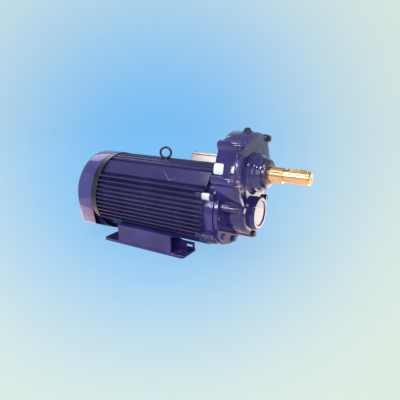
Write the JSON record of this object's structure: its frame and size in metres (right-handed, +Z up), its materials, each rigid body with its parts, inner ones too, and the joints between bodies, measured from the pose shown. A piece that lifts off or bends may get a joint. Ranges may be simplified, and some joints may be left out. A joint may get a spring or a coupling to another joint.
{
  "type": "gearmotor",
  "caption": "Foot-mounted helical gearmotor: finned fan-cooled motor, parallel-shaft gear case with bolted cover, and keyed output shaft above the motor axis.",
  "frame": {"origin": "on the floor under the middle of the bounding box, between the two feet", "axes": "+X along both shafts, out of the output shaft; +Z up; +Y towards the terminal box's side"},
  "size_m": [0.7252, 0.2598, 0.3683],
  "materials": {
    "enamel": "glossy",
    "dark_enamel": "glossy",
    "bright_steel": "ground",
    "black_steel": "blackened",
    "gear_steel": "machined",
    "core_iron": "laminated",
    "winding_copper": "varnished",
    "cast_aluminium": "cast",
    "seal_rubber": "matte",
    "black_plastic": "matte"
  },
  "bodies": {
    "housing": {"motor_frame": "enamel", "foot_left": "enamel", "foot_right": "enamel", "rear_end_shield": "enamel", "drive_end_shield": "enamel", "fan_cowl": "enamel", "terminal_box": "enamel", "terminal_box_lid": "enamel", "gear_case": "enamel", "gear_cover": "enamel", "pinion_bearing_cap": "enamel", "output_seal_cap": "dark_enamel", "eyebolt": "black_steel", "breather_plug": "black_steel", "drain_plug": "black_steel", "cover_bolt_1": "black_steel", "cover_bolt_2": "black_steel", "cover_bolt_3": "black_steel", "cover_bolt_4": "black_steel", "cover_bolt_5": "black_steel", "cover_bolt_6": "black_steel", "cover_bolt_7": "black_steel", "flange_bolt_1": "black_steel", "flange_bolt_2": "black_steel", "flange_bolt_3": "black_steel", "flange_bolt_4": "black_steel", "flange_bolt_5": "black_steel", "shield_bolt_1": "black_steel", "shield_bolt_2": "black_steel", "shield_bolt_3": "black_steel", "shield_bolt_4": "black_steel", "rear_bearing_outer_ring": "gear_steel", "drive_bearing_outer_ring": "gear_steel", "pinion_bearing_outer_ring": "gear_steel", "output_rear_bearing_outer_ring": "gear_steel", "output_front_bearing_outer_ring": "gear_steel", "stator_core": "core_iron", "winding_head_rear": "winding_copper", "winding_head_front": "winding_copper", "cover_gasket": "seal_rubber", "terminal_gasket": "seal_rubber", "motor_oil_seal": "seal_rubber", "output_oil_seal": "seal_rubber", "terminal_block": "black_plastic", "cable_gland": "black_plastic"},
    "rotor": {"motor_shaft": "gear_steel", "rotor_core": "core_iron", "rotor_end_ring_rear": "cast_aluminium", "rotor_end_ring_front": "cast_aluminium", "cooling_fan": "black_plastic", "motor_pinion": "gear_steel", "rear_bearing_inner_ring": "gear_steel", "drive_bearing_inner_ring": "gear_steel", "pinion_bearing_inner_ring": "gear_steel"},
    "output": {"output_shaft": "bright_steel", "output_key": "bright_steel", "output_gear": "gear_steel", "output_rear_bearing_inner_ring": "gear_steel", "output_front_bearing_inner_ring": "gear_steel"}
  },
  "joints": [
    {"name": "rotor_spin", "type": "hinge", "parent": "housing", "child": "rotor", "pos_m": [0, 0, 0.132], "axis": [1, 0, 0], "continuous": true},
    {"name": "output_spin", "type": "hinge", "parent": "housing", "child": "output", "pos_m": [0, 0, 0.247], "axis": [1, 0, 0], "continuous": true}
  ],
  "couplings": [
    {"joint": "output_spin", "follows": "rotor_spin", "ratio": -0.24324}
  ]
}
